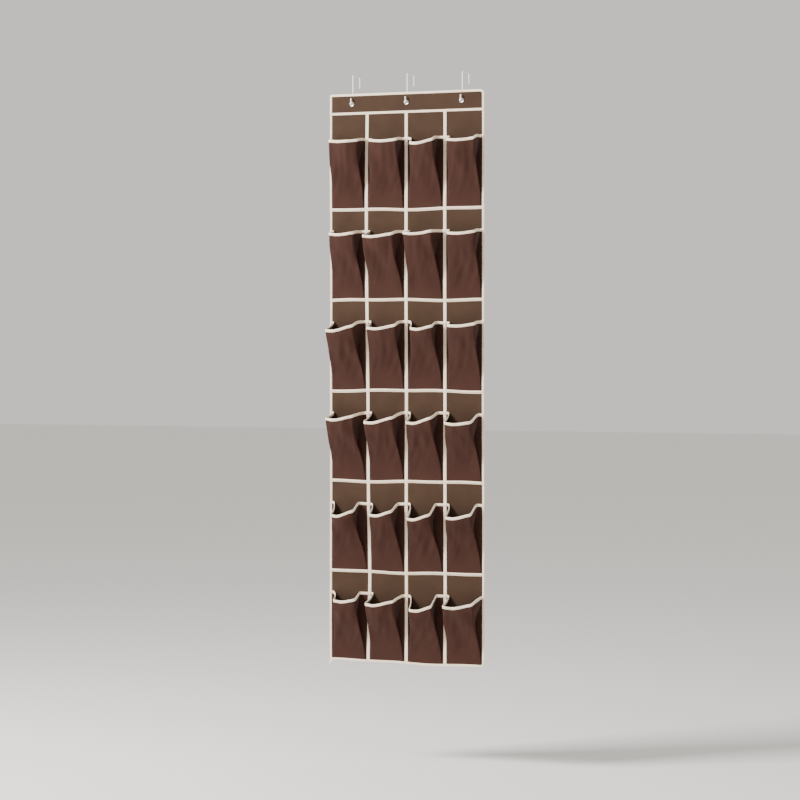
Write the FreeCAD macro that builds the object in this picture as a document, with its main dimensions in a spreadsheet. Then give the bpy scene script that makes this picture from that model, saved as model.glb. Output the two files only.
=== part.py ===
"""Over-the-door shoe organizer: a fabric panel of pockets hung from three wire door hooks.

Millimetres. +Z is up, +X is to the right of someone facing the door, and +Y goes into the door.
The origin is on the door's top front edge, under the middle hook: z = 0 is the door's top
and y = 0 is its front face.
"""
import FreeCAD, Part
import os
import Sketcher

SIZES = [
    ("panel_width", 483, "width of the fabric panel"),
    ("panel_drop", 51, "panel's top edge below the door's top"),
    ("header_height", 56, "panel's top edge to the middle of the header tape"),
    ("top_row_height", 276.6, "middle of the header tape to the first row tape"),
    ("row_pitch", 258.7, "one row tape to the next"),
    ("column_count", 4, "pockets in a row"),
    ("row_count", 6, "rows of pockets"),
    ("fabric", 0.7, "thickness of the non-woven fabric"),
    ("tape", 0.7, "thickness of the binding tape"),
    ("pocket_height", 198.5, "pocket's seam to its mouth"),
    ("pocket_depth", 50, "how far a mouth stands out from the backing"),
    ("knee_height", 62, "height above the seam where the pocket starts to open out"),
    ("knee_depth", 9, "depth of the pocket at that height"),
    ("seam_height", 10, "flat band of strip above its seam"),
    ("flange_width", 17, "flat strip between a column seam and the pleat"),
    ("mouth_binding_height", 7.5, "how far the binding comes down from a mouth"),
    ("column_tape_width", 9.5, "width of a column tape"),
    ("header_tape_width", 7, "width of the header tape"),
    ("row_tape_width", 8.5, "width of a row tape"),
    ("edge_binding_width", 6, "how far the edge binding covers the panel"),
    ("wire", 4, "diameter of the hook wire"),
    ("hook_spacing", 172, "middle hook to an outer hook"),
    ("door_gap", 42, "inside of a hook, over the door's top"),
    ("back_leg", 32, "how far a hook comes down behind the door"),
    ("saddle_bend", 3, "bend radius on the wire's centreline, over the door"),
    ("hook_bend", 5, "bend radius on the wire's centreline, under the eyelet"),
    ("hook_reach", 14, "front leg to upturned tip, centre to centre"),
    ("tip_height", 16, "upturned tip above the wire's lowest centre"),
    ("eyelet_drop", 29, "middle of an eyelet below the panel's top edge"),
    ("eyelet_hole", 3.5, "radius of the hole in an eyelet"),
    ("eyelet_wall", 0.5, "wall of an eyelet's barrel"),
    ("eyelet_rim", 7.25, "outer radius of an eyelet and of its washer"),
    ("eyelet_metal", 0.7, "thickness of an eyelet's rim and of its washer"),
    ("eyelet_roll", 1.6, "how far the rolled end stands out from the barrel"),
    ("hang_clearance", 0.4, "wire to the top of the hole it carries"),
]

doc = FreeCAD.newDocument("shoe_organizer")
sizes = doc.addObject("Spreadsheet::Sheet", "sizes")
for row, (alias, size, meaning) in enumerate(SIZES, start=1):
    sizes.set(f"A{row}", meaning)
    sizes.set(f"B{row}", str(size))
    sizes.setAlias(f"B{row}", alias)
doc.recompute()

ROWS = int(sizes.row_count)
COLUMNS = int(sizes.column_count)
SIDES = {"left": -1, "center": 0, "right": 1}
sub_parts = []

# Places that several pieces share, as expressions on the sheet.
HALF_WIDTH = "sizes.panel_width / 2"
COLUMN_WIDTH = "sizes.panel_width / sizes.column_count"
BACKING_REAR = "-(sizes.wire / 2 + sizes.hook_reach / 2) + sizes.fabric"
BACKING_FRONT = f"{BACKING_REAR} - sizes.fabric"
PANEL_TOP = "-sizes.panel_drop"
HEADER_SEAM = f"{PANEL_TOP} - sizes.header_height"
PANEL_HEIGHT = "sizes.header_height + sizes.top_row_height + (sizes.row_count - 1) * sizes.row_pitch"
PANEL_BOTTOM = f"{PANEL_TOP} - ({PANEL_HEIGHT})"
EYELET_MIDDLE = f"{PANEL_TOP} - sizes.eyelet_drop"
BARREL_RADIUS = "sizes.eyelet_hole + sizes.eyelet_wall"


def row_seam(row):
    """Height of a row's seam, rows counted from 1 at the top."""
    return f"{HEADER_SEAM} - sizes.top_row_height - {row - 1} * sizes.row_pitch"


def place(item, x, y, z):
    item.setExpression("Placement.Base.x", x)
    item.setExpression("Placement.Base.y", y)
    item.setExpression("Placement.Base.z", z)


def sub_part(item, name):
    """Counts an object as one of the organizer's own pieces."""
    item.Label = name
    sub_parts.append(item)
    return item


def box(name, corner, length, width, height):
    item = doc.addObject("Part::Box", name)
    item.setExpression("Length", length)
    item.setExpression("Width", width)
    item.setExpression("Height", height)
    place(item, *corner)
    return item


def disc(name, centre, radius, length):
    """A cylinder that runs towards +Y from its centre point."""
    item = doc.addObject("Part::Cylinder", name)
    item.setExpression("Radius", radius)
    item.setExpression("Height", length)
    item.Placement.Rotation = FreeCAD.Rotation(FreeCAD.Vector(1, 0, 0), -90)
    place(item, *centre)
    return item


def fused(name, items):
    item = doc.addObject("Part::MultiFuse", name)
    item.Shapes = items
    item.Refine = True
    return item


def cut(name, base, tool):
    item = doc.addObject("Part::Cut", name)
    item.Base = base
    item.Tool = tool
    item.Refine = True
    return item


def origin_feature(body, role):
    return next(f for f in body.Origin.OriginFeatures if f.Role == role)


def outline(body, name, plane, height, corners):
    """A closed sketch through corners given as expressions, lifted off the body's own plane."""
    sketch = body.newObject("Sketcher::SketchObject", name)
    sketch.AttachmentSupport = [(origin_feature(body, plane), "")]
    sketch.MapMode = "FlatFace"
    sketch.setExpression("AttachmentOffset.Base.z", height)
    points = []
    for across, up in corners:
        points.append(FreeCAD.Vector(float(sketch.evalExpression(across)), float(sketch.evalExpression(up)), 0))
    count = len(points)
    for i in range(count):
        sketch.addGeometry(Part.LineSegment(points[i], points[(i + 1) % count]))
    for i in range(count):
        sketch.addConstraint(Sketcher.Constraint("Coincident", i, 2, (i + 1) % count, 1))
    for i, (across, up) in enumerate(corners):
        number = sketch.addConstraint(Sketcher.Constraint("DistanceX", -1, 1, i, 1, points[i].x))
        sketch.setExpression(f"Constraints[{number}]", across)
        number = sketch.addConstraint(Sketcher.Constraint("DistanceY", -1, 1, i, 1, points[i].y))
        sketch.setExpression(f"Constraints[{number}]", up)
    return sketch


def pad(body, name, sketch, length):
    feature = body.newObject("PartDesign::Pad", name)
    feature.Profile = sketch
    feature.setExpression("Length", length)
    body.Tip = feature
    doc.recompute()
    return feature


def pocket(body, name, sketch, length):
    """Cuts along the sketch's own normal, and makes sure that it cut something."""
    before = body.Shape.Volume
    feature = body.newObject("PartDesign::Pocket", name)
    feature.Profile = sketch
    feature.Reversed = True
    feature.setExpression("Length", length)
    body.Tip = feature
    doc.recompute()
    if body.Shape.Volume >= before:
        raise RuntimeError(f"{name} removes nothing")
    return feature


def across_columns(body, name, feature):
    """Repeats a feature once in each column."""
    pattern = body.newObject("PartDesign::LinearPattern", name)
    pattern.Originals = [feature]
    pattern.Direction = (origin_feature(body, "X_Axis"), [""])
    pattern.setExpression("Length", f"(sizes.column_count - 1) * {COLUMN_WIDTH}")
    pattern.setExpression("Occurrences", "sizes.column_count")
    body.Tip = pattern
    doc.recompute()
    return pattern


# ---- Panel: the backing, and the facing that doubles its header -------------------------

eyelet_holes = []
for side, step in SIDES.items():
    hole = disc(
        f"hole_{side}",
        (f"{step} * sizes.hook_spacing", f"{BACKING_FRONT} - 2 * sizes.fabric", EYELET_MIDDLE),
        BARREL_RADIUS,
        "4 * sizes.fabric",
    )
    eyelet_holes.append(hole)
header_holes = fused("header_holes", eyelet_holes)

backing = box(
    "backing",
    (f"-{HALF_WIDTH}", BACKING_FRONT, PANEL_BOTTOM),
    "sizes.panel_width",
    "sizes.fabric",
    PANEL_HEIGHT,
)
back_panel = sub_part(cut("back_panel_cut", backing, header_holes), "back_panel")

facing = box(
    "facing",
    (f"-{HALF_WIDTH}", f"{BACKING_FRONT} - sizes.fabric", HEADER_SEAM),
    "sizes.panel_width",
    "sizes.fabric",
    "sizes.header_height",
)
header_facing = sub_part(cut("header_facing_cut", facing, header_holes), "header_facing")

# ---- Pocket strips: one pleated length of fabric to each row ----------------------------
# A strip lies flat on the backing beside each column seam and along its own seam at the
# bottom. Between, it stands out as a pocket whose mouth is open at the top. A strip's own
# frame has y = 0 on the backing and z = 0 at its seam.

SLOPE = "((sizes.pocket_depth - sizes.knee_depth) / (sizes.pocket_height - sizes.knee_height))"
LOW_RUN = "((sizes.knee_height - sizes.seam_height) / sizes.knee_depth)"
POCKET_WIDTH = f"{COLUMN_WIDTH} - 2 * sizes.flange_width"
POCKET_LEFT = f"-{HALF_WIDTH} + sizes.flange_width"
MOUTH_TOP = "sizes.pocket_height + sizes.tape"
BINDING_FOOT = "(sizes.pocket_height - sizes.mouth_binding_height)"


def flat_layer(body, name, thickness, low, high):
    sketch = outline(
        body,
        f"{name}_outline",
        "YZ_Plane",
        f"-{HALF_WIDTH}",
        [("0", low), (f"-({thickness})", low), (f"-({thickness})", high), ("0", high)],
    )
    return pad(body, name, sketch, "sizes.panel_width")


def pocket_side(inset):
    """Side view of a pocket, or of the space in it when inset is the wall's thickness."""
    return [
        ("0", f"sizes.seam_height + ({inset}) * {LOW_RUN}"),
        (f"-(sizes.knee_depth - ({inset}))", "sizes.knee_height"),
        (f"-(sizes.pocket_depth - ({inset}))", "sizes.pocket_height"),
        ("0", "sizes.pocket_height"),
    ]


def binding_side(outset):
    """Side view of the mouth binding's outer face, or of the space inside it."""
    return [
        ("0", BINDING_FOOT),
        (f"-(sizes.pocket_depth + ({outset}) - {SLOPE} * sizes.mouth_binding_height)", BINDING_FOOT),
        (f"-(sizes.pocket_depth + ({outset}) + {SLOPE} * sizes.tape)", MOUTH_TOP),
        ("0", MOUTH_TOP),
    ]


def pocket_strip(row):
    body = doc.addObject("PartDesign::Body", f"strip_{row}")
    flat_layer(body, f"strip_sheet_{row}", "sizes.fabric", "0", "sizes.pocket_height")
    outside = outline(body, f"pocket_outside_{row}", "YZ_Plane", POCKET_LEFT, pocket_side("0"))
    bulge = pad(body, f"bulge_{row}", outside, POCKET_WIDTH)
    across_columns(body, f"bulges_{row}", bulge)
    inside = outline(
        body,
        f"pocket_inside_{row}",
        "YZ_Plane",
        f"{POCKET_LEFT} + sizes.fabric",
        pocket_side("sizes.fabric"),
    )
    hollow = pocket(body, f"hollow_{row}", inside, f"{POCKET_WIDTH} - 2 * sizes.fabric")
    across_columns(body, f"hollows_{row}", hollow)
    place(body, "0", BACKING_FRONT, row_seam(row))
    return sub_part(body, f"pocket_strip_{row}")


def mouth_binding(row, strip):
    """A tape folded over the strip's top edge, along the flats and round every pocket."""
    body = doc.addObject("PartDesign::Body", f"mouth_{row}")
    flat_layer(body, f"mouth_flat_{row}", "sizes.fabric + sizes.tape", BINDING_FOOT, MOUTH_TOP)
    outside = outline(
        body, f"mouth_outside_{row}", "YZ_Plane", f"{POCKET_LEFT} - sizes.tape", binding_side("sizes.tape")
    )
    round_pocket = pad(body, f"mouth_round_{row}", outside, f"{POCKET_WIDTH} + 2 * sizes.tape")
    across_columns(body, f"mouths_round_{row}", round_pocket)
    wall = "sizes.fabric + sizes.tape"
    inside = outline(
        body, f"mouth_inside_{row}", "YZ_Plane", f"{POCKET_LEFT} + {wall}", binding_side(f"-({wall})")
    )
    hollow = pocket(body, f"mouth_hollow_{row}", inside, f"{POCKET_WIDTH} - 2 * ({wall})")
    across_columns(body, f"mouth_hollows_{row}", hollow)
    place(body, "0", BACKING_FRONT, row_seam(row))
    return sub_part(cut(f"mouth_binding_cut_{row}", body, strip), f"mouth_binding_{row}")


strips = [pocket_strip(row) for row in range(1, ROWS + 1)]
bindings = [mouth_binding(row, strips[row - 1]) for row in range(1, ROWS + 1)]

# ---- Tapes: sewn flat over the seams, each one lying over what it crosses ---------------

LAYER_2 = f"{BACKING_FRONT} - sizes.fabric - sizes.tape"
LAYER_3 = f"{LAYER_2} - sizes.tape"
HALF_HEADER_TAPE = "sizes.header_tape_width / 2"
HALF_ROW_TAPE = "sizes.row_tape_width / 2"

header_tape_box = box(
    "header_tape_box",
    (f"-{HALF_WIDTH}", LAYER_2, f"{HEADER_SEAM} - {HALF_HEADER_TAPE}"),
    "sizes.panel_width",
    "sizes.fabric + sizes.tape",
    "sizes.header_tape_width",
)
header_tape = sub_part(cut("header_tape_cut", header_tape_box, header_facing), "header_tape")

row_tapes = []
for row in range(1, ROWS):
    tape_box = box(
        f"row_tape_box_{row}",
        (f"-{HALF_WIDTH}", LAYER_2, f"{row_seam(row)} - {HALF_ROW_TAPE}"),
        "sizes.panel_width",
        "sizes.fabric + sizes.tape",
        "sizes.row_tape_width",
    )
    tape = cut(f"row_tape_cut_{row}", tape_box, strips[row - 1])
    row_tapes.append(sub_part(tape, f"row_tape_{row}"))

crossed = fused("crossed_by_column_tapes", strips + bindings + row_tapes)
TAPE_NAMES = ("left", "center", "right")
for column in range(1, COLUMNS):
    column_box = box(
        f"column_tape_box_{column}",
        (
            f"-{HALF_WIDTH} + {column} * {COLUMN_WIDTH} - sizes.column_tape_width / 2",
            LAYER_3,
            f"{PANEL_BOTTOM} + sizes.edge_binding_width",
        ),
        "sizes.column_tape_width",
        "sizes.fabric + 2 * sizes.tape",
        f"{PANEL_HEIGHT} - sizes.header_height - {HALF_HEADER_TAPE} - sizes.edge_binding_width",
    )
    sub_part(cut(f"column_tape_cut_{column}", column_box, crossed), f"column_tape_{TAPE_NAMES[column - 1]}")

edge_outer = box(
    "edge_outer",
    (f"-{HALF_WIDTH} - sizes.tape", LAYER_3, f"{PANEL_BOTTOM} - sizes.tape"),
    "sizes.panel_width + 2 * sizes.tape",
    "2 * sizes.fabric + 3 * sizes.tape",
    f"{PANEL_HEIGHT} + 2 * sizes.tape",
)
edge_window = box(
    "edge_window",
    (f"-{HALF_WIDTH} + sizes.edge_binding_width", LAYER_3, f"{PANEL_BOTTOM} + sizes.edge_binding_width"),
    "sizes.panel_width - 2 * sizes.edge_binding_width",
    "2 * sizes.fabric + 3 * sizes.tape",
    f"{PANEL_HEIGHT} - 2 * sizes.edge_binding_width",
)
edge_ring = cut("edge_ring", edge_outer, edge_window)
bound = fused("bound_by_edge", [crossed, back_panel, header_facing, header_tape])
sub_part(cut("edge_binding_cut", edge_ring, bound), "perimeter_binding")

# ---- Eyelets: a flanged barrel from the front, rolled over a washer at the back ---------

FACING_FRONT = f"{BACKING_FRONT} - sizes.fabric"
WASHER_REAR = f"{BACKING_REAR} + sizes.eyelet_metal"
for side, step in SIDES.items():
    x = f"{step} * sizes.hook_spacing"
    rim_front = (x, f"{FACING_FRONT} - sizes.eyelet_metal", EYELET_MIDDLE)
    through = f"2 * sizes.fabric + 3 * sizes.eyelet_metal"
    rim = disc(f"eyelet_rim_{side}", rim_front, "sizes.eyelet_rim", "sizes.eyelet_metal")
    barrel = disc(f"eyelet_barrel_{side}", rim_front, BARREL_RADIUS, through)
    roll = disc(
        f"eyelet_roll_{side}",
        (x, WASHER_REAR, EYELET_MIDDLE),
        f"{BARREL_RADIUS} + sizes.eyelet_roll",
        "sizes.eyelet_metal",
    )
    bore = disc(f"eyelet_bore_{side}", rim_front, "sizes.eyelet_hole", f"{through} + sizes.eyelet_metal")
    metal = fused(f"eyelet_metal_{side}", [rim, barrel, roll])
    sub_part(cut(f"eyelet_cut_{side}", metal, bore), f"eyelet_{side}")
    washer = disc(
        f"washer_disc_{side}", (x, BACKING_REAR, EYELET_MIDDLE), "sizes.eyelet_rim", "sizes.eyelet_metal"
    )
    washer_hole = disc(
        f"washer_hole_{side}", (x, BACKING_REAR, EYELET_MIDDLE), BARREL_RADIUS, "sizes.eyelet_metal"
    )
    sub_part(cut(f"washer_cut_{side}", washer, washer_hole), f"eyelet_washer_{side}")

# ---- Hooks: one round wire each, bent over the door and up through its eyelet -----------

WIRE_RADIUS = "sizes.wire / 2"
REAR_LEG_Y = f"sizes.door_gap + {WIRE_RADIUS}"
FRONT_LEG_Y = f"-{WIRE_RADIUS}"
TIP_Y = f"{FRONT_LEG_Y} - sizes.hook_reach"
LOWEST_CENTRE = f"{EYELET_MIDDLE} + sizes.eyelet_hole - {WIRE_RADIUS} - sizes.hang_clearance"
SADDLE_LEVEL = f"{WIRE_RADIUS} - sizes.saddle_bend"
HOOK_LEVEL = f"{LOWEST_CENTRE} + sizes.hook_bend"
LOCAL_Z_TO_X = FreeCAD.Rotation(FreeCAD.Vector(1, 1, 1), 120)


def upright(name, x, y, low, high):
    item = doc.addObject("Part::Cylinder", name)
    item.setExpression("Radius", WIRE_RADIUS)
    item.setExpression("Height", f"({high}) - ({low})")
    place(item, x, y, low)
    return item


def bend(name, x, y, z, radius, start):
    """A quarter turn in the YZ plane. start is its first angle, counted from +Y towards +Z."""
    item = doc.addObject("Part::Torus", name)
    item.setExpression("Radius1", radius)
    item.setExpression("Radius2", WIRE_RADIUS)
    item.Angle3 = 90
    item.Placement.Rotation = LOCAL_Z_TO_X * FreeCAD.Rotation(FreeCAD.Vector(0, 0, 1), start)
    place(item, x, y, z)
    return item


def dome(name, x, y, z):
    item = doc.addObject("Part::Sphere", name)
    item.setExpression("Radius", WIRE_RADIUS)
    place(item, x, y, z)
    return item


for side, step in SIDES.items():
    x = f"{step} * sizes.hook_spacing"
    rear_bend_y = f"{REAR_LEG_Y} - sizes.saddle_bend"
    front_bend_y = f"{FRONT_LEG_Y} + sizes.saddle_bend"
    under_bend_y = f"{FRONT_LEG_Y} - sizes.hook_bend"
    tip_bend_y = f"{TIP_Y} + sizes.hook_bend"
    tip_top = f"{LOWEST_CENTRE} + sizes.tip_height - {WIRE_RADIUS}"
    rear_foot = f"{WIRE_RADIUS} - sizes.back_leg"
    wire_runs = [
        dome(f"rear_end_{side}", x, REAR_LEG_Y, rear_foot),
        upright(f"rear_leg_{side}", x, REAR_LEG_Y, rear_foot, SADDLE_LEVEL),
        bend(f"rear_bend_{side}", x, rear_bend_y, SADDLE_LEVEL, "sizes.saddle_bend", 0),
        disc(f"saddle_{side}", (x, front_bend_y, WIRE_RADIUS), WIRE_RADIUS,
             f"({rear_bend_y}) - ({front_bend_y})"),
        bend(f"front_bend_{side}", x, front_bend_y, SADDLE_LEVEL, "sizes.saddle_bend", 90),
        upright(f"front_leg_{side}", x, FRONT_LEG_Y, HOOK_LEVEL, SADDLE_LEVEL),
        bend(f"under_bend_{side}", x, under_bend_y, HOOK_LEVEL, "sizes.hook_bend", 270),
        disc(f"under_run_{side}", (x, tip_bend_y, LOWEST_CENTRE), WIRE_RADIUS,
             f"({under_bend_y}) - ({tip_bend_y})"),
        bend(f"tip_bend_{side}", x, tip_bend_y, HOOK_LEVEL, "sizes.hook_bend", 180),
        upright(f"tip_{side}", x, TIP_Y, HOOK_LEVEL, tip_top),
        dome(f"tip_end_{side}", x, TIP_Y, tip_top),
    ]
    sub_part(fused(f"hook_wire_{side}", wire_runs), f"hook_{side}")

# ---- Checks, then one STEP file for each piece ------------------------------------------

doc.recompute()
for item in doc.Objects:
    if "Invalid" in item.State or "Error" in item.State:
        raise RuntimeError(f"{item.Label} failed: {item.State}")
for item in sub_parts:
    if item.Shape.isNull() or not item.Shape.isValid() or len(item.Shape.Solids) != 1:
        raise RuntimeError(f"{item.Label} is not one valid solid")

os.makedirs("parts", exist_ok=True)
for item in sub_parts:
    item.Shape.exportStep(f"parts/{item.Label}.step")
    extent = item.Shape.BoundBox
    print(f"{item.Label:24s} x {extent.XMin:8.2f} {extent.XMax:8.2f}  y {extent.YMin:7.2f} {extent.YMax:7.2f}"
          f"  z {extent.ZMin:9.2f} {extent.ZMax:9.2f}  volume {item.Shape.Volume:10.1f}")
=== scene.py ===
"""Shoe organizer: the cloth, tapes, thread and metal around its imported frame. Metres."""
import math

import bmesh
import bpy
from mathutils import Matrix, Vector, noise


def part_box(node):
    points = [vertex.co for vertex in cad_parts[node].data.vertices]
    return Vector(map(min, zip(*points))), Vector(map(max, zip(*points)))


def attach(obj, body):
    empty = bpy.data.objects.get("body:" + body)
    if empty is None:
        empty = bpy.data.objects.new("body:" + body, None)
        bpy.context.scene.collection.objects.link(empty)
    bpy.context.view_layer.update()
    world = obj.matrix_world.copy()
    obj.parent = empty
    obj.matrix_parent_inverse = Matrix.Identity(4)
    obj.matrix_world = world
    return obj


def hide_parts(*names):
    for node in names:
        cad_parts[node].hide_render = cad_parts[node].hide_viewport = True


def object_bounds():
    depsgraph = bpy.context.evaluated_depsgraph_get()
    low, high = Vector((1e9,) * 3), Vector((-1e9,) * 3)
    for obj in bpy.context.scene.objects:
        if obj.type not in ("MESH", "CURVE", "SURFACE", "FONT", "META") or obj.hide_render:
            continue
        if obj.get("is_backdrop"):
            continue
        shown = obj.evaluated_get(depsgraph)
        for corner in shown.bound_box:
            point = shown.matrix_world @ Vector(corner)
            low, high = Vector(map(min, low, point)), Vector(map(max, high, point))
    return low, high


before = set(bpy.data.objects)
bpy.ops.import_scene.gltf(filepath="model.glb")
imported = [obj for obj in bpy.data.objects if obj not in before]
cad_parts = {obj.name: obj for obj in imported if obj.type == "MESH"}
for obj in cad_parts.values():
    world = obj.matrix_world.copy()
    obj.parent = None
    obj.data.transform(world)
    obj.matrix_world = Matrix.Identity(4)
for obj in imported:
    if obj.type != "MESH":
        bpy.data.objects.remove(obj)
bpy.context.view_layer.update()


# ---- Backing panel ------------------------------------------------------------------------
# One long piece of brown non-woven polypropylene, embossed with fine points, that everything
# else is sewn to. It hangs from its header, so its seams wander a little on the way down.

panel_low, panel_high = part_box("back_panel")
CLOTH = panel_high.y - panel_low.y
CLOTH_FRONT = panel_low.y
PANEL_WIDTH = panel_high.x - panel_low.x
ROWS = range(1, 7)
COLUMNS = range(4)
CELL = PANEL_WIDTH / len(COLUMNS)
CORNER_RADIUS = {(-1, 1): 0.003, (1, 1): 0.012, (1, -1): 0.010, (-1, -1): 0.004}


def smooth(low, high, value):
    """0 below low, 1 above high, and an even S between."""
    share = min(max((value - low) / (high - low), 0), 1)
    return share * share * (3 - 2 * share)


def bump(middle, spread, value):
    return math.exp(-(((value - middle) / spread) ** 2))


UPPER_MOUTH_RISE = 0.0055


def hang(x, y, z):
    """Where a point of the flat, sewn panel is once the panel hangs from its hooks."""
    free = smooth(0.10, 0.30, -z)
    left_seam = max(0, 1 - abs(x + CELL) / CELL)
    x += left_seam * (0.0065 * bump(-1.42, 0.17, z) - 0.0055 * bump(-0.42, 0.35, z))
    y += free * (0.0010 * math.sin(4.1 * z + 7 * x) - 0.0008 * math.sin(9.7 * z - 11 * x + 1))
    z += UPPER_MOUTH_RISE * bump(-0.185, 0.045, z)
    z += free * 0.0016 * (math.sin(13 * x + 5.3 * z) + 0.6 * math.sin(31 * x + 11 * z + 2))
    return Vector((x, y, z))


def trim(x, z):
    """Brings a point of a cloth in from the panel's square corners to its rounded ones."""
    side = 1 if x > 0 else -1
    end = 1 if z > (panel_low.z + panel_high.z) / 2 else -1
    radius = CORNER_RADIUS[side, end]
    middle_x = side * (PANEL_WIDTH / 2 - radius)
    middle_z = panel_high.z - radius if end > 0 else panel_low.z + radius
    away = Vector((x - middle_x, z - middle_z))
    if away.x * side > 0 and away.y * end > 0 and away.length > radius:
        away.length = radius
        return middle_x + away.x, middle_z + away.y
    return x, z


def piece_of(bm, name, body, material):
    """Turns a finished bmesh into a piece that rides on a body."""
    bmesh.ops.recalc_face_normals(bm, faces=bm.faces)
    mesh = bpy.data.meshes.new(name)
    bm.to_mesh(mesh)
    bm.free()
    piece = bpy.data.objects.new(name, mesh)
    bpy.context.scene.collection.objects.link(piece)
    mesh.materials.append(material)
    for face in mesh.polygons:
        face.use_smooth = True
    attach(piece, body)
    return piece


def cloth_grid(across, along, place, pattern):
    """A grid whose points go where place(i, j) says. pattern(i, j) is the cloth's own flat position."""
    bm = bmesh.new()
    bmesh.ops.create_grid(bm, x_segments=across, y_segments=along, size=1)
    step = {}
    for vert in bm.verts:
        i = round((vert.co.x + 1) / 2 * across)
        j = round((vert.co.y + 1) / 2 * along)
        step[vert] = (i, j)
    uv_layer = bm.loops.layers.uv.new("cloth")
    for face in bm.faces:
        for loop in face.loops:
            loop[uv_layer].uv = pattern(*step[loop.vert])
    for vert, (i, j) in step.items():
        vert.co = place(i, j)
    return bm


def thicken(piece, thickness, offset):
    solid = piece.modifiers.new("thickness", "SOLIDIFY")
    solid.thickness = thickness
    solid.offset = offset
    solid.use_even_offset = False


def node_group(name, inputs, outputs):
    group = bpy.data.node_groups.new(name, "ShaderNodeTree")
    for socket, default in inputs:
        value = group.interface.new_socket(socket, in_out="INPUT", socket_type="NodeSocketFloat")
        value.default_value = default
    for socket, kind in outputs:
        group.interface.new_socket(socket, in_out="OUTPUT", socket_type=kind)
    return group, group.nodes.new("NodeGroupInput"), group.nodes.new("NodeGroupOutput")


def node(tree, kind, **settings):
    made = tree.nodes.new(kind)
    for name, value in settings.items():
        setattr(made, name, value)
    return made


def embossed_felt():
    """Bonded fibres and the rows of tiny embossed points that hold them together."""
    group, given, result = node_group(
        "embossed_felt",
        [("point pitch", 0.0016), ("fibre depth", 0.5), ("point depth", 1.0)],
        [("Height", "NodeSocketFloat"), ("Fibres", "NodeSocketFloat"), ("Cloud", "NodeSocketFloat")],
    )
    link = group.links.new
    cloth = node(group, "ShaderNodeUVMap", uv_map="cloth")
    scale = node(group, "ShaderNodeMath", operation="DIVIDE")
    scale.inputs[0].default_value = 2 * math.pi
    link(given.outputs["point pitch"], scale.inputs[1])
    turned = node(group, "ShaderNodeMapping")
    turned.inputs["Rotation"].default_value = (0, 0, math.radians(45))
    link(cloth.outputs["UV"], turned.inputs["Vector"])
    axes = node(group, "ShaderNodeSeparateXYZ")
    link(turned.outputs["Vector"], axes.inputs["Vector"])
    waves = []
    for axis in ("X", "Y"):
        phase = node(group, "ShaderNodeMath", operation="MULTIPLY")
        link(axes.outputs[axis], phase.inputs[0])
        link(scale.outputs[0], phase.inputs[1])
        wave = node(group, "ShaderNodeMath", operation="COSINE")
        link(phase.outputs[0], wave.inputs[0])
        waves.append(wave)
    both = node(group, "ShaderNodeMath", operation="MINIMUM")
    link(waves[0].outputs[0], both.inputs[0])
    link(waves[1].outputs[0], both.inputs[1])
    points = node(group, "ShaderNodeMapRange", interpolation_type="SMOOTHSTEP")
    points.inputs["From Min"].default_value = 0.2
    points.inputs["From Max"].default_value = 0.75
    link(both.outputs[0], points.inputs["Value"])
    fibres = node(group, "ShaderNodeTexNoise")
    fibres.inputs["Scale"].default_value = 2600
    fibres.inputs["Detail"].default_value = 3
    fibres.inputs["Distortion"].default_value = 1.5
    link(cloth.outputs["UV"], fibres.inputs["Vector"])
    cloud = node(group, "ShaderNodeTexNoise")
    cloud.inputs["Scale"].default_value = 16
    cloud.inputs["Detail"].default_value = 5
    link(cloth.outputs["UV"], cloud.inputs["Vector"])
    raised = node(group, "ShaderNodeMath", operation="MULTIPLY")
    link(fibres.outputs["Fac"], raised.inputs[0])
    link(given.outputs["fibre depth"], raised.inputs[1])
    pressed = node(group, "ShaderNodeMath", operation="MULTIPLY")
    link(points.outputs["Result"], pressed.inputs[0])
    link(given.outputs["point depth"], pressed.inputs[1])
    height = node(group, "ShaderNodeMath", operation="SUBTRACT")
    link(raised.outputs[0], height.inputs[0])
    link(pressed.outputs[0], height.inputs[1])
    link(height.outputs[0], result.inputs["Height"])
    link(fibres.outputs["Fac"], result.inputs["Fibres"])
    link(cloud.outputs["Fac"], result.inputs["Cloud"])
    return group


FELT = embossed_felt()


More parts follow.
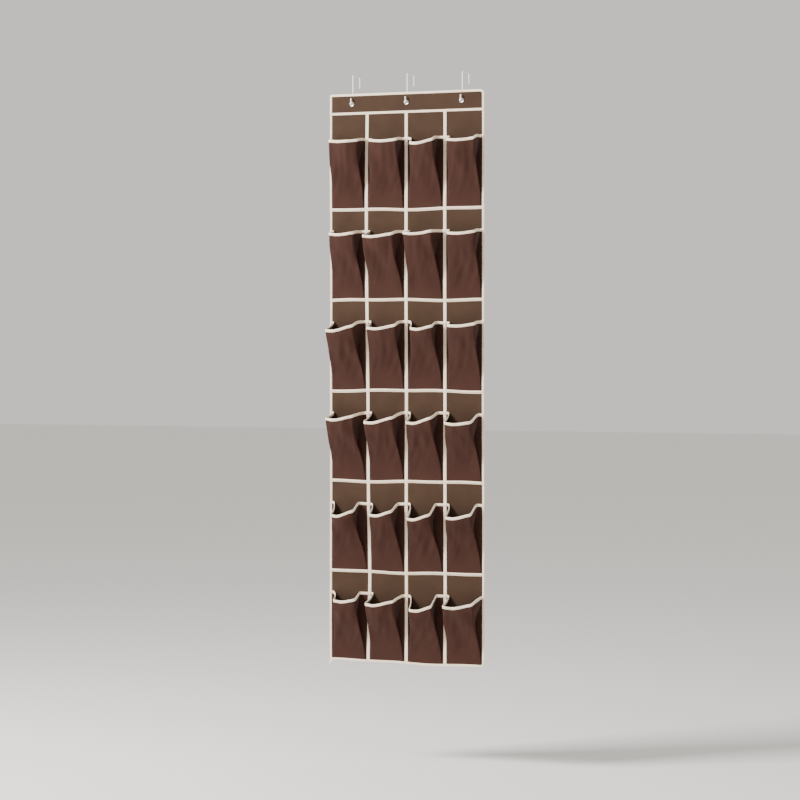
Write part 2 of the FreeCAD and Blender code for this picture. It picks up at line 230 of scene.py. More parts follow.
def felt_cloth(name, dark, light, roughness, sheen):
    """Non-woven cloth between two near shades, with its bonded fibres and points, and painted shade in
    its pressed points with a painted highlight on its raised fibres.
    """
    material = bpy.data.materials.new(name)
    material.use_nodes = True
    tree = material.node_tree
    surface = tree.nodes["Principled BSDF"]
    surface.inputs["Sheen Weight"].default_value = sheen
    surface.inputs["Sheen Roughness"].default_value = 0.6
    surface.inputs["Specular IOR Level"].default_value = 0.18
    felt = node(tree, "ShaderNodeGroup", node_tree=FELT)
    shade = node(tree, "ShaderNodeMix", data_type="RGBA")
    shade.inputs[6].default_value = (*dark, 1)
    shade.inputs[7].default_value = (*light, 1)
    blend = node(tree, "ShaderNodeMapRange")
    blend.inputs["From Min"].default_value = 0.3
    blend.inputs["From Max"].default_value = 0.7
    mixed = node(tree, "ShaderNodeMath", operation="MULTIPLY_ADD")
    mixed.inputs[1].default_value = 0.35
    tree.links.new(felt.outputs["Fibres"], mixed.inputs[0])
    part = node(tree, "ShaderNodeMath", operation="MULTIPLY")
    part.inputs[1].default_value = 0.65
    tree.links.new(felt.outputs["Cloud"], part.inputs[0])
    tree.links.new(part.outputs[0], mixed.inputs[2])
    tree.links.new(mixed.outputs[0], blend.inputs["Value"])
    tree.links.new(blend.outputs["Result"], shade.inputs[0])
    # Painted shade and highlight: the relief's height darkens the colour in the pressed points and
    # lightens it on the raised fibres.
    pressed = node(tree, "ShaderNodeMapRange")
    pressed.inputs["From Min"].default_value = -0.8
    pressed.inputs["From Max"].default_value = 0.3
    pressed.inputs["To Min"].default_value = 0.80
    pressed.inputs["To Max"].default_value = 1.09
    tree.links.new(felt.outputs["Height"], pressed.inputs["Value"])
    relief_shaded = node(tree, "ShaderNodeHueSaturation")
    tree.links.new(shade.outputs[2], relief_shaded.inputs["Color"])
    tree.links.new(pressed.outputs["Result"], relief_shaded.inputs["Value"])
    tree.links.new(relief_shaded.outputs["Color"], surface.inputs["Base Color"])
    rough = node(tree, "ShaderNodeMapRange")
    rough.inputs["To Min"].default_value = roughness - 0.08
    rough.inputs["To Max"].default_value = roughness + 0.06
    tree.links.new(felt.outputs["Fibres"], rough.inputs["Value"])
    tree.links.new(rough.outputs["Result"], surface.inputs["Roughness"])
    relief = node(tree, "ShaderNodeBump")
    relief.inputs["Strength"].default_value = 0.6
    relief.inputs["Distance"].default_value = 0.0003
    tree.links.new(felt.outputs["Height"], relief.inputs["Height"])
    tree.links.new(relief.outputs["Normal"], surface.inputs["Normal"])
    return material


backing_cloth = felt_cloth("backing_felt", (0.038, 0.0195, 0.0105), (0.055, 0.029, 0.0162), 0.90, 0.03)


def flat_sheet(low, high, across, along):
    """A sheet of the panel between two corners, hung and trimmed with it."""
    def spot(i, j):
        return low.x + (high.x - low.x) * i / across, low.z + (high.z - low.z) * j / along

    def place(i, j):
        x, z = trim(*spot(i, j))
        return hang(x, (low.y + high.y) / 2, z)

    return cloth_grid(across, along, place, spot)


def punch(piece, radius):
    """Cuts the three holes that the eyelets are pressed through."""
    bm = bmesh.new()
    for side in ("left", "center", "right"):
        low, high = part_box(f"eyelet_{side}")
        made = bmesh.ops.create_cone(
            bm, cap_ends=True, segments=32, radius1=radius, radius2=radius, depth=0.02
        )
        quarter = Matrix.Rotation(math.radians(90), 3, "X")
        bmesh.ops.rotate(bm, verts=made["verts"], matrix=quarter)
        bmesh.ops.translate(bm, verts=made["verts"], vec=(low + high) / 2)
    mesh = bpy.data.meshes.new("punch")
    bm.to_mesh(mesh)
    bm.free()
    punches = bpy.data.objects.new("punch", mesh)
    bpy.context.scene.collection.objects.link(punches)
    holes = piece.modifiers.new("holes", "BOOLEAN")
    holes.operation = "DIFFERENCE"
    holes.object = punches
    holes.solver = "EXACT"
    cut = bpy.data.meshes.new_from_object(piece.evaluated_get(bpy.context.evaluated_depsgraph_get()))
    piece.modifiers.clear()
    piece.data = cut
    bpy.data.objects.remove(punches)


HOLE_RADIUS = 0.004
SHEET_STEPS_ACROSS = 56
backing = piece_of(
    flat_sheet(panel_low, panel_high, SHEET_STEPS_ACROSS, 190),
    "backing",
    "panel",
    backing_cloth,
)
thicken(backing, CLOTH, 0)
punch(backing, HOLE_RADIUS)
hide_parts("back_panel")


# ---- Header facing ------------------------------------------------------------------------
# A second thickness of the same cloth over the top of the backing. It stiffens the header,
# where the three eyelets carry the load.

facing_low, facing_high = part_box("header_facing")
facing = piece_of(
    flat_sheet(facing_low, facing_high, SHEET_STEPS_ACROSS, 12),
    "facing",
    "panel",
    backing_cloth,
)
thicken(facing, CLOTH, 0)
punch(facing, HOLE_RADIUS)
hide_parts("header_facing")


# ---- Pocket strips ------------------------------------------------------------------------
# Each row is one strip of softer, redder cloth. It is sewn flat beside every column seam and
# folded forward into a pocket between, and its spare cloth is pleated flat along the bottom.

pocket_cloth = felt_cloth("pocket_felt", (0.031, 0.0098, 0.0058), (0.045, 0.0148, 0.0086), 0.84, 0.03)
STRIP_CELL = 0.212
STRIP_LENGTH = STRIP_CELL * len(COLUMNS)
STRIP_BOX = {row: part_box(f"pocket_strip_{row}") for row in ROWS}
STRIP_HEIGHT = STRIP_BOX[1][1].z - STRIP_BOX[1][0].z
STEPS_IN_CELL = 64
STRIP_STEPS = STEPS_IN_CELL * len(COLUMNS)
STEPS_UP = 48
PLEAT_INSET = 0.0075
PLEATED_DEPTH = 0.0015
MOUTH_DEPTH = 0.049
LEFT_FLAT = 0.0125
BELLY = 0.0045
SLACK_FOLD = 0.0085
SMALL_FOLD = 0.0030
MOUTH_BOW = 0.003

# For each pocket, from left to right: how far in its left and right front corners stand from
# their column seams, how far the front of its mouth drops, and how much of that the right
# corner takes back, all in millimetres.
POCKETS = {
    1: [(18, 9, 4, 0), (27, 9, 4, 0), (30, 15, 15, 7), (25, 10, 9, 1)],
    2: [(17, 19, 7, 3), (9, 23, 14, 6), (12, 19, 4, 3), (27, 9, 8, 3)],
    3: [(7, 24, 22, 10), (20, 13, 17, 7), (34, 17, 19, 9), (27, 9, 7, 2)],
    4: [(7, 28, 16, 8), (9, 22, 26, 12), (19, 22, 26, 12), (18, 18, 27, 6)],
    5: [(25, 27, 35, 14), (23, 24, 28, 9), (22, 27, 40, 12), (21, 21, 34, 8)],
    6: [(33, 22, 20, 4), (8, 22, 27, 12), (30, 20, 36, 9), (11, 17, 27, 9)],
}


def pleat_plan(s, left, right, depth, open_share):
    """Plan of one pocket at cloth distance s: across, forward, and how far round the front."""
    front = CELL - left - right
    spare_left = (STRIP_CELL - front) / 2
    spare_open = LEFT_FLAT + math.hypot(left - LEFT_FLAT, depth)
    spare_left += (spare_open - spare_left) * open_share
    spare_right = STRIP_CELL - front - spare_left
    flat_left = (spare_left**2 - left**2 - depth**2) / (2 * (spare_left - left))
    flat_right = (spare_right**2 - right**2 - depth**2) / (2 * (spare_right - right))
    if s > spare_left + front:
        s_back = STRIP_CELL - s
        if s_back < flat_right:
            return CELL - s_back, 0, 1
        share = (s_back - flat_right) / (spare_right - flat_right)
        return CELL - flat_right - (right - flat_right) * share, depth * share, 1
    if s < flat_left:
        return s, 0, 0
    if s < spare_left:
        share = (s - flat_left) / (spare_left - flat_left)
        return flat_left + (left - flat_left) * share, depth * share, 0
    return left + s - spare_left, depth, (s - spare_left) / front


def strip_point(row, s, up):
    """A point of a strip at cloth distance s along it, and at a share up of its height."""
    column = min(int(s / STRIP_CELL), len(COLUMNS) - 1)
    local = s - column * STRIP_CELL
    left_mouth, right_mouth, drop, lift = (v / 1000 for v in POCKETS[row][column])
    strip_low, strip_high = STRIP_BOX[row]
    open_share = smooth(0.04, 0.98, up) ** 1.15
    width_share = smooth(-0.05, 0.95, up)
    left = PLEAT_INSET + (left_mouth - PLEAT_INSET) * width_share
    right = PLEAT_INSET + (right_mouth - PLEAT_INSET) * width_share
    depth = PLEATED_DEPTH + (MOUTH_DEPTH - PLEATED_DEPTH) * open_share
    soft = 0.0015 + 0.0028 * open_share
    across = forward = round_share = 0
    taps = (-1, -0.5, 0, 0.5, 1)
    for tap in taps:
        at = min(max(local + tap * soft, 0), STRIP_CELL)
        x, out, share = pleat_plan(at, left, right, depth, open_share)
        across += x / len(taps)
        forward += out / len(taps)
        round_share += share / len(taps)
    standing = forward / depth
    bow = math.sin(math.pi * round_share) * standing
    seed = 10 * row + column
    slack = up * (1 - 0.55 * up) * 1.6
    folds = noise.noise(Vector((local * 26 + up * 1.7, up * 1.6, seed))) * SLACK_FOLD
    folds += noise.noise(Vector((local * 60 - up * 3.1, up * 3.0, seed + 5))) * SMALL_FOLD
    belly = BELLY * bow * open_share + standing * slack * folds * smooth(0.05, 0.3, up)
    curl = standing * (1 - standing) * 4 * (0.0050 if round_share < 0.5 else 0.0030)
    across += curl * open_share**3 * (1 + 2 * noise.noise(Vector((up * 4, seed, round_share * 9))))
    fall_share = standing if round_share < 0.5 else standing ** (4 if row < 4 else 2)
    fall = fall_share * (drop - lift * smooth(0.25, 1.0, round_share)) + MOUTH_BOW * bow
    fall *= 0.25 * up + 0.75 * up**3
    lifted = CLOTH * smooth(strip_high.z - 0.012, strip_high.z - 0.007, strip_low.z + up * STRIP_HEIGHT)
    x = panel_low.x + column * CELL + across
    y = CLOTH_FRONT - CLOTH / 2 - lifted - forward - belly
    z = strip_low.z + up * STRIP_HEIGHT - fall
    if standing < 0.05 or up < 0.08:
        x, z = trim(x, z)
    return hang(x, y, z)


for row in ROWS:
    strip_grid = cloth_grid(
        STRIP_STEPS,
        STEPS_UP,
        lambda i, j: strip_point(row, STRIP_LENGTH * i / STRIP_STEPS, j / STEPS_UP),
        lambda i, j: (STRIP_LENGTH * i / STRIP_STEPS, STRIP_HEIGHT * j / STEPS_UP),
    )
    strip = piece_of(
        strip_grid,
        f"pocket_strip_cloth_{row}",
        "panel",
        pocket_cloth,
    )
    thicken(strip, CLOTH * 0.8, 0)
    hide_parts(f"pocket_strip_{row}")


# ---- Mouth bindings -----------------------------------------------------------------------
# One ivory tape a row, folded over the strip's top edge and stitched through. It follows the
# strip over the flats, back round each pleat and along the pocket fronts.

TAPE = 0.0007


def binding_tape():
    """Ivory woven tape: a fine rib across a soft fibre, with painted shade in the hollows of its weave.
    """
    material = bpy.data.materials.new("ivory_tape")
    material.use_nodes = True
    tree = material.node_tree
    surface = tree.nodes["Principled BSDF"]
    surface.inputs["Sheen Weight"].default_value = 0.15
    surface.inputs["Specular IOR Level"].default_value = 0.35
    cloth = node(tree, "ShaderNodeUVMap", uv_map="cloth")
    ribs = node(tree, "ShaderNodeTexWave", wave_type="BANDS", bands_direction="X")
    ribs.inputs["Scale"].default_value = 320
    ribs.inputs["Distortion"].default_value = 0.6
    ribs.inputs["Detail"].default_value = 1
    ribs.inputs["Detail Scale"].default_value = 2
    tree.links.new(cloth.outputs["UV"], ribs.inputs["Vector"])
    yarns = node(tree, "ShaderNodeTexWave", wave_type="BANDS", bands_direction="Y")
    yarns.inputs["Scale"].default_value = 420
    yarns.inputs["Distortion"].default_value = 0.6
    tree.links.new(cloth.outputs["UV"], yarns.inputs["Vector"])
    weave = node(tree, "ShaderNodeMath", operation="MULTIPLY")
    tree.links.new(ribs.outputs["Fac"], weave.inputs[0])
    tree.links.new(yarns.outputs["Fac"], weave.inputs[1])
    soil = node(tree, "ShaderNodeTexNoise")
    soil.inputs["Scale"].default_value = 22
    soil.inputs["Detail"].default_value = 4
    tree.links.new(cloth.outputs["UV"], soil.inputs["Vector"])
    # Painted shade: the weave's hollows darken the colour; the soil noise adds a random tone on top.
    both = node(tree, "ShaderNodeMath", operation="MULTIPLY_ADD")
    both.inputs[1].default_value = 0.35
    tree.links.new(weave.outputs[0], both.inputs[0])
    tree.links.new(soil.outputs["Fac"], both.inputs[2])
    spread = node(tree, "ShaderNodeMapRange")
    spread.inputs["From Min"].default_value = 0.35
    spread.inputs["From Max"].default_value = 0.85
    tree.links.new(both.outputs[0], spread.inputs["Value"])
    # Dark end: the painted shade of the weave's hollows and the soiled tone; light end: the tape's own
    # ivory.
    shade = node(tree, "ShaderNodeMix", data_type="RGBA")
    shade.inputs[6].default_value = (0.80, 0.65, 0.48, 1)
    shade.inputs[7].default_value = (0.97, 0.83, 0.66, 1)
    tree.links.new(spread.outputs["Result"], shade.inputs[0])
    tree.links.new(shade.outputs[2], surface.inputs["Base Color"])
    rough = node(tree, "ShaderNodeMapRange")
    rough.inputs["To Min"].default_value = 0.85
    rough.inputs["To Max"].default_value = 0.68
    tree.links.new(weave.outputs[0], rough.inputs["Value"])
    tree.links.new(rough.outputs["Result"], surface.inputs["Roughness"])
    relief = node(tree, "ShaderNodeBump")
    relief.inputs["Strength"].default_value = 0.4
    relief.inputs["Distance"].default_value = 0.0002
    tree.links.new(weave.outputs[0], relief.inputs["Height"])
    tree.links.new(relief.outputs["Normal"], surface.inputs["Normal"])
    return material


ivory_tape = binding_tape()


def tape_tube(sections, name, closed=False):
    """A tape from the loops of points round its section, joined in turn and shut at its ends."""
    around = len(sections[0])
    along = len(sections) if closed else len(sections) - 1
    run = [0]
    for before, after in zip(sections, sections[1:] + sections[:1]):
        run.append(run[-1] + (after[0] - before[0]).length)
    girth = [0]
    for before, after in zip(sections[0], sections[0][1:] + sections[0][:1]):
        girth.append(girth[-1] + (after - before).length)
    bm = cloth_grid(
        around,
        along,
        lambda i, j: sections[j % len(sections)][i % around],
        lambda i, j: (girth[i], run[j]),
    )
    bmesh.ops.remove_doubles(bm, verts=bm.verts, dist=1e-7)
    if not closed:
        bmesh.ops.holes_fill(bm, edges=[e for e in bm.edges if e.is_boundary], sides=0)
    return piece_of(bm, name, "panel", ivory_tape)


# The binding's section: out from the strip's middle, and up from its edge.
MOUTH_LEG = 0.0074
INNER = CLOTH * 0.4
OUTER = INNER + TAPE
PUFF = 0.0002
MOUTH_FOLD = [
    (INNER, -MOUTH_LEG), (OUTER, -MOUTH_LEG), (OUTER + PUFF, -MOUTH_LEG * 0.6),
    (OUTER + PUFF, -MOUTH_LEG * 0.25), (OUTER, -0.0004), (OUTER * 0.5, 0.0005),
    (-OUTER * 0.5, 0.0005), (-OUTER, -0.0004), (-OUTER, -MOUTH_LEG * 0.5), (-OUTER, -MOUTH_LEG),
    (-INNER, -MOUTH_LEG), (-INNER, -0.0003), (INNER, -0.0003),
]

NEARBY = 0.002
MOUTH_STITCH_DOWN = 0.72
seams = []
for row in ROWS:
    sections = []
    stitch_line = []
    for i in range(STRIP_STEPS + 1):
        s = STRIP_LENGTH * i / STRIP_STEPS
        edge = strip_point(row, s, 1.0)
        up = (edge - strip_point(row, s, 0.95)).normalized()
        ahead = strip_point(row, min(s + NEARBY, STRIP_LENGTH), 1.0)
        behind = strip_point(row, max(s - NEARBY, 0), 1.0)
        out = (ahead - behind).cross(up).normalized()
        sections.append([edge + out * a + up * b for a, b in MOUTH_FOLD])
        stitch_line.append((edge + out * (OUTER + PUFF) - up * MOUTH_LEG * MOUTH_STITCH_DOWN, out))
    tape_tube(sections, f"mouth_binding_tape_{row}")
    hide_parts(f"mouth_binding_{row}")
    seams.append((f"mouth_stitches_{row}", [stitch_line]))


# ---- Row and header tapes -----------------------------------------------------------------
# Straight ivory tapes over the seams that close each row of pockets, and over the facing's
# lower edge. Each lies over the strip's pleats above its seam and on the backing below it.


def strip_skin(x, z, pleats=True):
    """How far the strips and their bindings raise the surface in front of the backing."""
    in_cell = (x - panel_low.x) % CELL
    from_seam = min(in_cell, CELL - in_cell)
    raised = 0
    for row in ROWS:
        low, high = STRIP_BOX[row]
        binding_foot = high.z - MOUTH_LEG
        below_mouth = 1 - smooth(high.z, high.z + 0.0015, z)
        inside = smooth(low.z - 0.0022, low.z - 0.0004, z) * below_mouth
        bound = smooth(binding_foot - 0.0015, binding_foot + 0.0003, z) * below_mouth
        pleated = PLEATED_DEPTH * smooth(0.004, 0.009, from_seam) if pleats else 0
        raised = max(raised, inside * (CLOTH + pleated) + bound * 2.2 * TAPE)
    return raised


def row_tape_skin(z):
    """How far the row tapes and the header tape raise what lies over them."""
    raised = 0
    for _, middle, half in row_seams:
        raised = max(raised, TAPE * (1 - smooth(half - 0.0005, half + 0.001, abs(z - middle))))
    return raised


def facing_skin(z):
    return CLOTH * smooth(facing_low.z - 0.0005, facing_low.z + 0.0005, z)


FORWARD = Vector((0, -1, 0))
BACKWARD = Vector((0, 1, 0))
TAPE_STITCH_OUT = 0.78


def flat_tape(name, spots, half_width, skin):
    """A tape laid on the panel along spots (x, z, side x, side z), over whatever skin() gives."""
    widths = (-1, -0.9, -0.6, -0.3, -0.08, 0.45, 0.9, 1)
    sections = []
    edges = ([], [])
    rear_edges = ([], [])
    for x, z, side_x, side_z in spots:
        rear = []
        front = []
        for share in widths:
            at_x = x + side_x * half_width * share
            at_z = z + side_z * half_width * share
            rise = skin(at_x, at_z)
            edge_round = 0.45 * TAPE if abs(share) == 1 else 0
            rear.append(hang(at_x, CLOTH_FRONT - rise, at_z))
            front.append(hang(at_x, CLOTH_FRONT - rise - TAPE + edge_round, at_z))
        sections.append(front + rear[::-1])
        for line, rear_line, share in zip(edges, rear_edges, (-TAPE_STITCH_OUT, TAPE_STITCH_OUT)):
            at_x = x + side_x * half_width * share
            at_z = z + side_z * half_width * share
            line.append((hang(at_x, CLOTH_FRONT - skin(at_x, at_z) - TAPE, at_z), FORWARD))
            rear_line.append((hang(at_x, panel_high.y, at_z), BACKWARD))
    seams.append((f"{name}_stitches", [*edges, *rear_edges]))
    return tape_tube(sections, name)


row_seams = []
for cad_tape in ["header_tape"] + [f"row_tape_{row}" for row in range(1, 6)]:
    low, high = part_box(cad_tape)
    row_seams.append((cad_tape, (low.z + high.z) / 2, (high.z - low.z) / 2))

TAPE_STEPS = 160
TAPE_END_IN = 0.001
for cad_tape, middle, half in row_seams:
    spots = []
    for i in range(TAPE_STEPS + 1):
        reach = (PANEL_WIDTH - 2 * TAPE_END_IN) * i / TAPE_STEPS
        spots.append((panel_low.x + TAPE_END_IN + reach, middle, 0, 1))
    tape = flat_tape(
        f"{cad_tape}_ivory", spots, half, lambda x, z: max(strip_skin(x, z), facing_skin(z))
    )
    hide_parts(cad_tape)


# ---- Column tapes -------------------------------------------------------------------------
# Three long ivory tapes sewn through strips and backing between the pockets. They go over
# the mouth bindings and the row tapes, and are stitched down along both edges.

COLUMN_STEPS = 620
for cad_tape in ("column_tape_left", "column_tape_center", "column_tape_right"):
    low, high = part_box(cad_tape)
    spots = []
    for i in range(COLUMN_STEPS + 1):
        spots.append(((low.x + high.x) / 2, high.z + (low.z - high.z) * i / COLUMN_STEPS, 1, 0))
    tape = flat_tape(
        f"{cad_tape}_ivory",
        spots,
        (high.x - low.x) / 2,
        lambda x, z: max(strip_skin(x, z, pleats=False), facing_skin(z)) + row_tape_skin(z),
    )
    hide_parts(cad_tape)


# ---- Edge binding -------------------------------------------------------------------------
# One ivory tape folded over the panel's cut edge, all the way round from the lower left
# corner, where its spare end is left hanging. It catches the end of every tape it passes.

EDGE_LEG = 0.0059
EDGE_STEP = 0.004
TURN_STEP = 0.0015
EDGE_STITCH_IN = 0.76


def corner(side, end):
    """The radius of one of the panel's corners, and the middle that it turns about."""
    radius = CORNER_RADIUS[side, end]
    edge = panel_high.z if end > 0 else panel_low.z
    return radius, Vector((side * (PANEL_WIDTH / 2 - radius), edge - end * radius))


def outline_spots():
    """Points round the panel's edge with the way out of it, starting at the lower left."""
    spots = []
    corners = [(-1, -1), (1, -1), (1, 1), (-1, 1)]
    for n, place in enumerate(corners):
        radius, middle = corner(*place)
        next_radius, next_middle = corner(*corners[(n + 1) % 4])
        first_angle = math.pi / 2 * (n - 2)
        turn_steps = max(4, round(radius * math.pi / 2 / TURN_STEP))
        for k in range(turn_steps + 1):
            angle = first_angle + math.pi / 2 * k / turn_steps
            out = Vector((math.cos(angle), math.sin(angle)))
            spots.append((middle + out * radius, out))
        start, out = spots[-1]
        stop = next_middle + out * next_radius
        straight_steps = round((stop - start).length / EDGE_STEP)
        for k in range(1, straight_steps):
            spots.append((start + (stop - start) * k / straight_steps, out))
    return spots


sections = []
edge_line = []
for spot, out in outline_spots():
    inward = spot - out * EDGE_LEG * 0.5
    rise = max(strip_skin(inward.x, inward.y), facing_skin(inward.y)) + row_tape_skin(inward.y)
    front = CLOTH_FRONT - rise
    rear = panel_high.y
    profile = [
        (front, -EDGE_LEG), (front - TAPE * 0.8, -EDGE_LEG), (front - TAPE, -EDGE_LEG + 0.0006),
        (front - TAPE, -EDGE_LEG * 0.5), (front - TAPE, -0.0004), (front - TAPE * 0.5, TAPE * 0.7),
        ((front + rear) / 2, TAPE), (rear + TAPE * 0.5, TAPE * 0.7), (rear + TAPE, -0.0004),
        (rear + TAPE, -EDGE_LEG), (rear, -EDGE_LEG), (rear, 0.0), (front, 0.0),
    ]
    section = []
    for y, reach in profile:
        at = spot + out * reach
        if reach < 0:
            at.x = min(max(at.x, panel_low.x - reach), panel_high.x + reach)
            at.y = min(max(at.y, panel_low.z - reach), panel_high.z + reach)
        section.append(hang(at.x, y, at.y))
    sections.append(section)
    at = spot - out * EDGE_LEG * EDGE_STITCH_IN
    edge_line.append((hang(at.x, front - TAPE, at.y), FORWARD))
edge_binding = tape_tube(sections, "edge_binding", closed=True)
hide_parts("perimeter_binding")
seams.append(("edge_stitches", [edge_line]))

# The tape's spare end, folded flat and left to hang past the lower left corner.
TAIL_RINGS = 9
TAIL_STEP = 0.0015
TAIL_START = 0.002
TAIL_IN = 0.004
TAIL_SECTION = (
    (-1, -0.3), (-0.9, -0.5), (0.9, -0.5), (1, -0.3), (1, 0.3), (0.9, 0.5), (-0.9, 0.5), (-1, 0.3)
)
tail_low = panel_low + Vector((0.0005, 0, 0))
sections = []
for k in range(TAIL_RINGS):
    down = TAIL_STEP * k - TAIL_START
    drift = 0.0006 * k * k / 8
    middle = Vector((
        tail_low.x + TAIL_IN - drift, CLOTH_FRONT - 2.4 * TAPE - 0.0003 * k, tail_low.z - down
    ))
    half = 0.0042 - 0.0001 * k
    section = []
    for x, y in TAIL_SECTION:
        ripple = 0.0006 * math.sin(3 * x + k)
        section.append(middle + Vector((x * half, y * TAPE * 1.6, ripple)))
    sections.append(section)
binding_tail = tape_tube(sections, "edge_binding_tail")


# ---- Stitching ----------------------------------------------------------------------------
# Cream thread in lock stitches of about three millimetres, sunk a little into the tapes that
# they hold down.

STITCH_PITCH = 0.0036
STITCH_LENGTH = 0.0027
THREAD = 0.00048


def thread_finish():
    material = bpy.data.materials.new("cream_thread")
    material.use_nodes = True
    tree = material.node_tree
    surface = tree.nodes["Principled BSDF"]
    place = node(tree, "ShaderNodeTexCoord")
    fluff = node(tree, "ShaderNodeTexNoise")
    fluff.inputs["Scale"].default_value = 900
    tree.links.new(place.outputs["Object"], fluff.inputs["Vector"])
    shade = node(tree, "ShaderNodeMix", data_type="RGBA")
    shade.inputs[6].default_value = (0.62, 0.52, 0.40, 1)
    shade.inputs[7].default_value = (0.86, 0.76, 0.62, 1)
    tree.links.new(fluff.outputs["Fac"], shade.inputs[0])
    tree.links.new(shade.outputs[2], surface.inputs["Base Color"])
    surface.inputs["Roughness"].default_value = 0.55
    return material


cream_thread = thread_finish()


def one_stitch():
    """The points and faces of one stitch of unit length, along X."""
    bm = bmesh.new()
    bmesh.ops.create_uvsphere(bm, u_segments=6, v_segments=4, radius=0.5)
    bmesh.ops.rotate(bm, verts=bm.verts, matrix=Matrix.Rotation(math.radians(90), 3, "Y"))
    bm.verts.index_update()
    points = [vert.co.copy() for vert in bm.verts]
    faces = [[vert.index for vert in face.verts] for face in bm.faces]
    bm.free()
    return points, faces


STITCH = one_stitch()


def sew(name, lines):
    """Stitches along lines of (point, way out of the cloth)."""
    points = []
    faces = []
    for line in lines:
        wait = STITCH_PITCH
        for (start, out), (stop, _) in zip(line, line[1:]):
            run = (stop - start).length
            while wait < run:
                middle = start.lerp(stop, wait / run) + out * THREAD * 0.1
                along = (stop - start).normalized()
                across = out.cross(along).normalized()
                lift = along.cross(across)
                first = len(points)
                for point in STITCH[0]:
                    reach = along * (point.x * STITCH_LENGTH)
                    points.append(middle + reach + (across * point.y + lift * point.z) * THREAD)
                faces += [[first + index for index in face] for face in STITCH[1]]
                wait += STITCH_PITCH
            wait -= run
    mesh = bpy.data.meshes.new(name)
    mesh.from_pydata(points, [], faces)
    bm = bmesh.new()
    bm.from_mesh(mesh)
    bpy.data.meshes.remove(mesh)
    return piece_of(bm, name, "panel", cream_thread)


stitching = {name: sew(name, lines) for name, lines in seams}


# ---- Eyelets and washers ------------------------------------------------------------------
# Nickelled sheet-metal eyelets pressed through the header: a domed rim in front, a barrel
# through both cloths, and a rolled end over a washer behind.


def plated_metal():
    material = bpy.data.materials.new("nickel_plate")
    material.use_nodes = True
    tree = material.node_tree
    surface = tree.nodes["Principled BSDF"]
    place = node(tree, "ShaderNodeTexCoord")
    rub = node(tree, "ShaderNodeTexNoise")
    rub.inputs["Scale"].default_value = 420
    rub.inputs["Detail"].default_value = 4
    tree.links.new(place.outputs["Object"], rub.inputs["Vector"])
    shade = node(tree, "ShaderNodeMix", data_type="RGBA")
    shade.inputs[6].default_value = (0.58, 0.53, 0.46, 1)
    shade.inputs[7].default_value = (0.80, 0.76, 0.70, 1)
    tree.links.new(rub.outputs["Fac"], shade.inputs[0])
    tree.links.new(shade.outputs[2], surface.inputs["Base Color"])
    surface.inputs["Metallic"].default_value = 1.0
    rough = node(tree, "ShaderNodeMapRange")
    rough.inputs["To Min"].default_value = 0.18
    rough.inputs["To Max"].default_value = 0.38
    tree.links.new(rub.outputs["Fac"], rough.inputs["Value"])
    tree.links.new(rough.outputs["Result"], surface.inputs["Roughness"])
    return material


nickel = plated_metal()


def turned_ring(name, middle, profile):
    """A ring turned about the eyelet's axis from its section (radius, y)."""
    bm = bmesh.new()
    verts = [bm.verts.new((middle.x + radius, y, middle.z)) for radius, y in profile]
    edges = [bm.edges.new((a, b)) for a, b in zip(verts, verts[1:] + verts[:1])]
    bmesh.ops.spin(
        bm, geom=verts + edges, cent=middle, axis=(0, 1, 0), angle=math.tau, steps=48, use_merge=True
    )
    bmesh.ops.remove_doubles(bm, verts=bm.verts, dist=1e-6)
    return piece_of(bm, name, "panel", nickel)


EYELET_BORE = 0.0035
EYELET_METAL = 0.0007
RIM_DOME = 0.0011
RIM_STEPS = 8
WASHER_EDGE = 0.00018
eyelets = []
for side in ("left", "center", "right"):
    low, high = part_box(f"eyelet_{side}")
    washer_low, washer_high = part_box(f"eyelet_washer_{side}")
    middle = (low + high) / 2
    rim = (high.x - low.x) / 2
    barrel = HOLE_RADIUS - 0.00005
    face = facing_low.y - 0.00005
    rear = washer_high.y
    rolled = rear + EYELET_METAL
    profile = [(EYELET_BORE, face + 0.0002)]
    for k in range(RIM_STEPS + 1):
        angle = math.pi * k / RIM_STEPS
        radius = (EYELET_BORE + rim) / 2 - (rim - EYELET_BORE) / 2 * math.cos(angle)
        profile.append((radius, face - RIM_DOME * math.sin(angle)))
    profile += [(rim - 0.0003, face), (barrel + 0.0006, face), (barrel, face + 0.0004), (barrel, rear)]
    profile += [(barrel + 0.0010, rear), (barrel + 0.0015, rear + 0.0003), (barrel + 0.0010, rolled)]
    profile += [(barrel - 0.0001, rolled), (EYELET_BORE, rear + EYELET_METAL * 0.6)]
    eyelet = turned_ring(f"eyelet_ring_{side}", middle, profile)
    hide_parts(f"eyelet_{side}")
    washer_profile = [
        (HOLE_RADIUS, washer_low.y), (HOLE_RADIUS, rear - WASHER_EDGE), (HOLE_RADIUS + WASHER_EDGE, rear),
        (rim - WASHER_EDGE, rear), (rim, rear - WASHER_EDGE), (rim, washer_low.y),
    ]
    washer = turned_ring(f"washer_ring_{side}", middle, washer_profile)
    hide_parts(f"eyelet_washer_{side}")
    eyelets += [eyelet, washer]


# ---- Door hooks ---------------------------------------------------------------------------
# Three lengths of round steel wire, dipped in white coating and bent over the door, down its
# face, and up through the eyelets. Their shape is the design's own; only the finish is new.


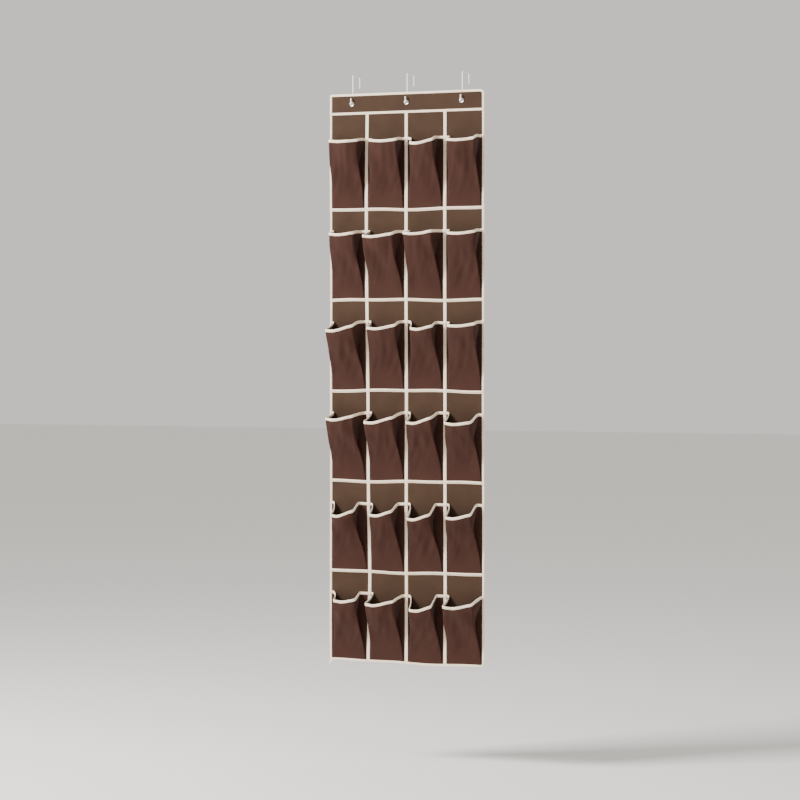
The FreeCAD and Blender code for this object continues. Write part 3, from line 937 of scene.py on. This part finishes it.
def white_coating():
    material = bpy.data.materials.new("white_coating")
    material.use_nodes = True
    tree = material.node_tree
    surface = tree.nodes["Principled BSDF"]
    surface.inputs["Coat Weight"].default_value = 0.5
    surface.inputs["Coat Roughness"].default_value = 0.12
    place = node(tree, "ShaderNodeTexCoord")
    dip = node(tree, "ShaderNodeTexNoise")
    dip.inputs["Scale"].default_value = 140
    dip.inputs["Detail"].default_value = 3
    tree.links.new(place.outputs["Object"], dip.inputs["Vector"])
    shade = node(tree, "ShaderNodeMix", data_type="RGBA")
    shade.inputs[6].default_value = (0.80, 0.77, 0.71, 1)
    shade.inputs[7].default_value = (0.93, 0.91, 0.87, 1)
    tree.links.new(dip.outputs["Fac"], shade.inputs[0])
    tree.links.new(shade.outputs[2], surface.inputs["Base Color"])
    rough = node(tree, "ShaderNodeMapRange")
    rough.inputs["To Min"].default_value = 0.25
    rough.inputs["To Max"].default_value = 0.42
    tree.links.new(dip.outputs["Fac"], rough.inputs["Value"])
    tree.links.new(rough.outputs["Result"], surface.inputs["Roughness"])
    relief = node(tree, "ShaderNodeBump")
    relief.inputs["Strength"].default_value = 0.15
    relief.inputs["Distance"].default_value = 0.0002
    tree.links.new(dip.outputs["Fac"], relief.inputs["Height"])
    tree.links.new(relief.outputs["Normal"], surface.inputs["Normal"])
    return material


coating = white_coating()
for side in ("left", "center", "right"):
    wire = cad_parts[f"hook_{side}"]
    wire.data.materials.clear()
    wire.data.materials.append(coating)


# ---- The sheets of cloth ------------------------------------------------------------------
# The backing hangs from its three hooks with everything that is sewn to it. The facing and the
# six gathered strips rest on the backing. The loop below does nothing.

for row in ROWS:
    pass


# ---- Floor, light and camera --------------------------------------------------------------
# A pale floor two metres under the hooks, a large soft key light from the upper left, and a
# weaker one from the right.

FLOOR_DROP = -1.967
bm = bmesh.new()
bmesh.ops.create_grid(bm, x_segments=1, y_segments=1, size=30)
bmesh.ops.translate(bm, verts=bm.verts, vec=(0, 0, FLOOR_DROP))
floor_mesh = bpy.data.meshes.new("floor")
bm.to_mesh(floor_mesh)
bm.free()
floor = bpy.data.objects.new("floor", floor_mesh)
bpy.context.scene.collection.objects.link(floor)
floor_paint = bpy.data.materials.new("floor_paint")
floor_paint.use_nodes = True
floor_paint.node_tree.nodes["Principled BSDF"].inputs["Base Color"].default_value = (0.88, 0.86, 0.82, 1)
floor_paint.node_tree.nodes["Principled BSDF"].inputs["Roughness"].default_value = 0.8
floor_mesh.materials.append(floor_paint)
floor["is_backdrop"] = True

world = bpy.data.worlds.new("studio")
world.use_nodes = True
world.node_tree.nodes["Background"].inputs["Color"].default_value = (0.95, 0.93, 0.90, 1)
world.node_tree.nodes["Background"].inputs["Strength"].default_value = 0.85
bpy.context.scene.world = world

PANEL_MIDDLE = (panel_low + panel_high) / 2


def soft_light(name, place, size, power):
    lamp = bpy.data.lights.new(name, "AREA")
    lamp.size = size
    lamp.energy = power
    light = bpy.data.objects.new(name, lamp)
    bpy.context.scene.collection.objects.link(light)
    light.location = place
    light.rotation_mode = "QUATERNION"
    light.rotation_quaternion = (PANEL_MIDDLE - Vector(place)).to_track_quat("-Z", "Y")


soft_light("key", (-2.6, -2.8, 1.6), 1.4, 460)
soft_light("fill", (2.5, -4.0, -0.4), 3.0, 25)

CAMERA_TURN = math.radians(25)
CAMERA_AWAY = 8.6
CAMERA_HEIGHT = -0.762
camera_data = bpy.data.cameras.new("camera")
camera_data.sensor_width = 36
camera_data.lens = 136
camera_data.shift_x = -0.008
camera_data.shift_y = -0.0725
camera_data.clip_end = 60
camera = bpy.data.objects.new("camera", camera_data)
bpy.context.scene.collection.objects.link(camera)
to_camera = Vector((math.sin(CAMERA_TURN), -math.cos(CAMERA_TURN), 0))
camera.location = Vector((0, PANEL_MIDDLE.y, CAMERA_HEIGHT)) + to_camera * CAMERA_AWAY
camera.rotation_mode = "QUATERNION"
camera.rotation_quaternion = (-to_camera).to_track_quat("-Z", "Y")
bpy.context.scene.camera = camera

low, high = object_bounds()
